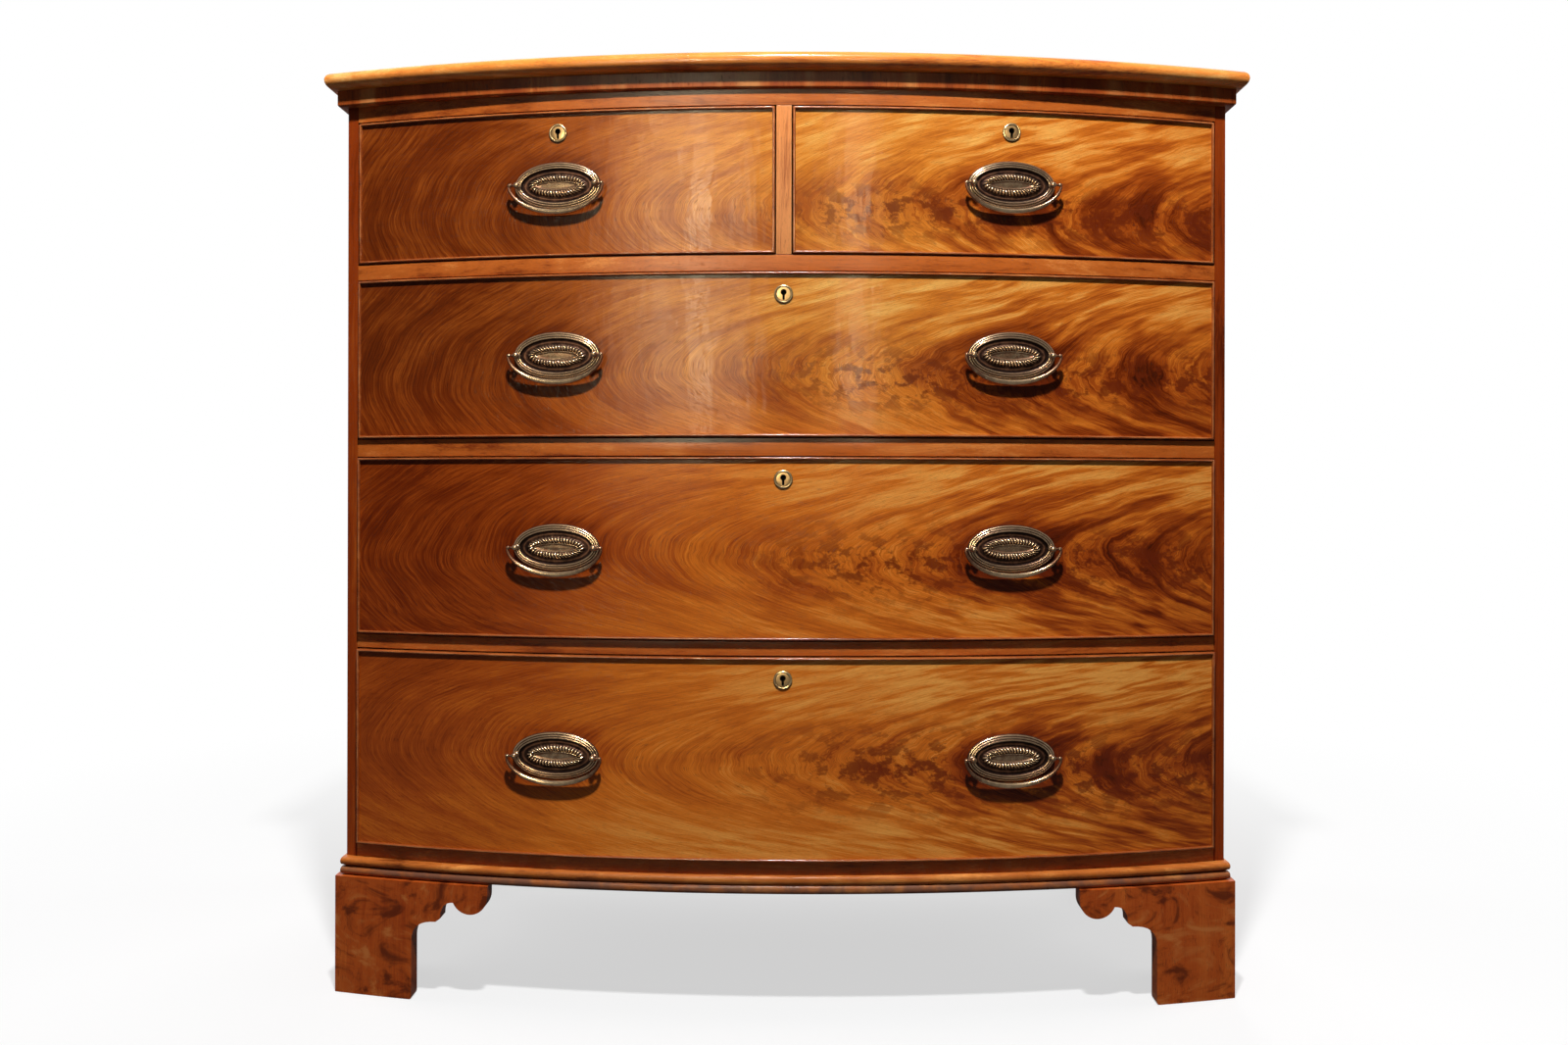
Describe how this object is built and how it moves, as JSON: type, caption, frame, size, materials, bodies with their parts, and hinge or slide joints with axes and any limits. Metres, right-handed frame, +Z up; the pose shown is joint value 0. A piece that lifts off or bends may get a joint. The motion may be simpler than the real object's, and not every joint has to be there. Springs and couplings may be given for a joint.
{
  "type": "bow front chest of drawers",
  "caption": "Bow front chest of drawers with short drawers over long ones, oval bail handles, beaded base moulding and scrolled bracket feet.",
  "frame": {"origin": "on the floor, under the middle of the bounding box", "axes": "+X to the right seen from the front, +Y to the back, +Z up"},
  "size_m": [1.0706, 0.543, 1.07],
  "materials": {
    "mahogany": "French polished red-brown mahogany",
    "mahogany_figured": "French polished mahogany veneer with flame figure",
    "mahogany_dark": "polished dark mahogany bead",
    "plain_wood": "bare, aged oak and pine",
    "handle_brass": "antiqued brass, dark in the hollows",
    "lock_brass": "worn brass",
    "steel": "filed steel"
  },
  "bodies": {
    "carcase": {"top_board": "mahogany", "frieze_moulding": "mahogany", "base_moulding": "mahogany", "side_right": "mahogany", "side_left": "mahogany", "rail_top": "mahogany", "rail_upper": "mahogany", "rail_middle": "mahogany", "rail_lower": "mahogany", "dustboard_upper": "plain_wood", "dustboard_middle": "plain_wood", "dustboard_lower": "plain_wood", "bottom_board": "mahogany", "centre_divider": "mahogany", "back_panel": "plain_wood", "foot_front_right": "mahogany", "foot_front_left": "mahogany", "foot_rear_right": "mahogany", "foot_rear_left": "mahogany"},
    "drawer_short_left": {"drawer_short_left_front": "mahogany_figured", "drawer_short_left_cockbead": "mahogany_dark", "drawer_short_left_box": "plain_wood", "drawer_short_left_lock": "lock_brass", "drawer_short_left_handle_plate": "handle_brass"},
    "drawer_short_left_bail": {"drawer_short_left_bail": "handle_brass"},
    "drawer_short_left_lock_bolt": {"drawer_short_left_lock_bolt": "steel"},
    "drawer_short_right": {"drawer_short_right_front": "mahogany_figured", "drawer_short_right_cockbead": "mahogany_dark", "drawer_short_right_box": "plain_wood", "drawer_short_right_lock": "lock_brass", "drawer_short_right_handle_plate": "handle_brass"},
    "drawer_short_right_bail": {"drawer_short_right_bail": "handle_brass"},
    "drawer_short_right_lock_bolt": {"drawer_short_right_lock_bolt": "steel"},
    "drawer_long_upper": {"drawer_long_upper_front": "mahogany_figured", "drawer_long_upper_cockbead": "mahogany_dark", "drawer_long_upper_box": "plain_wood", "drawer_long_upper_lock": "lock_brass", "drawer_long_upper_handle_plate_left": "handle_brass", "drawer_long_upper_handle_plate_right": "handle_brass"},
    "drawer_long_upper_bail_left": {"drawer_long_upper_bail_left": "handle_brass"},
    "drawer_long_upper_bail_right": {"drawer_long_upper_bail_right": "handle_brass"},
    "drawer_long_upper_lock_bolt": {"drawer_long_upper_lock_bolt": "steel"},
    "drawer_long_middle": {"drawer_long_middle_front": "mahogany_figured", "drawer_long_middle_cockbead": "mahogany_dark", "drawer_long_middle_box": "plain_wood", "drawer_long_middle_lock": "lock_brass", "drawer_long_middle_handle_plate_left": "handle_brass", "drawer_long_middle_handle_plate_right": "handle_brass"},
    "drawer_long_middle_bail_left": {"drawer_long_middle_bail_left": "handle_brass"},
    "drawer_long_middle_bail_right": {"drawer_long_middle_bail_right": "handle_brass"},
    "drawer_long_middle_lock_bolt": {"drawer_long_middle_lock_bolt": "steel"},
    "drawer_long_lower": {"drawer_long_lower_front": "mahogany_figured", "drawer_long_lower_cockbead": "mahogany_dark", "drawer_long_lower_box": "plain_wood", "drawer_long_lower_lock": "lock_brass", "drawer_long_lower_handle_plate_left": "handle_brass", "drawer_long_lower_handle_plate_right": "handle_brass"},
    "drawer_long_lower_bail_left": {"drawer_long_lower_bail_left": "handle_brass"},
    "drawer_long_lower_bail_right": {"drawer_long_lower_bail_right": "handle_brass"},
    "drawer_long_lower_lock_bolt": {"drawer_long_lower_lock_bolt": "steel"}
  },
  "joints": [
    {"name": "drawer_short_left_slide", "type": "slide", "parent": "carcase", "child": "drawer_short_left", "axis": [0, -1, 0], "range_m": [0, 0.3]},
    {"name": "drawer_short_left_bail_swing", "type": "hinge", "parent": "drawer_short_left", "child": "drawer_short_left_bail", "pos_m": [-0.25727, -0.24472, 0.9281], "axis": [-0.991, 0.1338, 0], "range_deg": [0, 180]},
    {"name": "drawer_short_left_bolt_throw", "type": "slide", "parent": "drawer_short_left", "child": "drawer_short_left_lock_bolt", "axis": [0, 0, 1], "range_m": [0, 0.008]},
    {"name": "drawer_short_right_slide", "type": "slide", "parent": "carcase", "child": "drawer_short_right", "axis": [0, -1, 0], "range_m": [0, 0.3]},
    {"name": "drawer_short_right_bail_swing", "type": "hinge", "parent": "drawer_short_right", "child": "drawer_short_right_bail", "pos_m": [0.25727, -0.24472, 0.9281], "axis": [-0.991, -0.1338, 0], "range_deg": [0, 180]},
    {"name": "drawer_short_right_bolt_throw", "type": "slide", "parent": "drawer_short_right", "child": "drawer_short_right_lock_bolt", "axis": [0, 0, 1], "range_m": [0, 0.008]},
    {"name": "drawer_long_upper_slide", "type": "slide", "parent": "carcase", "child": "drawer_long_upper", "axis": [0, -1, 0], "range_m": [0, 0.3]},
    {"name": "drawer_long_upper_bail_left_swing", "type": "hinge", "parent": "drawer_long_upper", "child": "drawer_long_upper_bail_left", "pos_m": [-0.25727, -0.24694, 0.73595], "axis": [-0.991, 0.1336, 0], "range_deg": [0, 180]},
    {"name": "drawer_long_upper_bail_right_swing", "type": "hinge", "parent": "drawer_long_upper", "child": "drawer_long_upper_bail_right", "pos_m": [0.25727, -0.24694, 0.73595], "axis": [-0.991, -0.1336, 0], "range_deg": [0, 180]},
    {"name": "drawer_long_upper_bolt_throw", "type": "slide", "parent": "drawer_long_upper", "child": "drawer_long_upper_lock_bolt", "axis": [0, 0, 1], "range_m": [0, 0.008]},
    {"name": "drawer_long_middle_slide", "type": "slide", "parent": "carcase", "child": "drawer_long_middle", "axis": [0, -1, 0], "range_m": [0, 0.3]},
    {"name": "drawer_long_middle_bail_left_swing", "type": "hinge", "parent": "drawer_long_middle", "child": "drawer_long_middle_bail_left", "pos_m": [-0.25727, -0.24815, 0.51935], "axis": [-0.991, 0.1335, 0], "range_deg": [0, 180]},
    {"name": "drawer_long_middle_bail_right_swing", "type": "hinge", "parent": "drawer_long_middle", "child": "drawer_long_middle_bail_right", "pos_m": [0.25727, -0.24815, 0.51935], "axis": [-0.991, -0.1335, 0], "range_deg": [0, 180]},
    {"name": "drawer_long_middle_bolt_throw", "type": "slide", "parent": "drawer_long_middle", "child": "drawer_long_middle_lock_bolt", "axis": [0, 0, 1], "range_m": [0, 0.008]},
    {"name": "drawer_long_lower_slide", "type": "slide", "parent": "carcase", "child": "drawer_long_lower", "axis": [0, -1, 0], "range_m": [0, 0.3]},
    {"name": "drawer_long_lower_bail_left_swing", "type": "hinge", "parent": "drawer_long_lower", "child": "drawer_long_lower_bail_left", "pos_m": [-0.25727, -0.25037, 0.2852], "axis": [-0.9911, 0.1334, 0], "range_deg": [0, 180]},
    {"name": "drawer_long_lower_bail_right_swing", "type": "hinge", "parent": "drawer_long_lower", "child": "drawer_long_lower_bail_right", "pos_m": [0.25727, -0.25037, 0.2852], "axis": [-0.9911, -0.1334, 0], "range_deg": [0, 180]},
    {"name": "drawer_long_lower_bolt_throw", "type": "slide", "parent": "drawer_long_lower", "child": "drawer_long_lower_lock_bolt", "axis": [0, 0, 1], "range_m": [0, 0.008]}
  ]
}
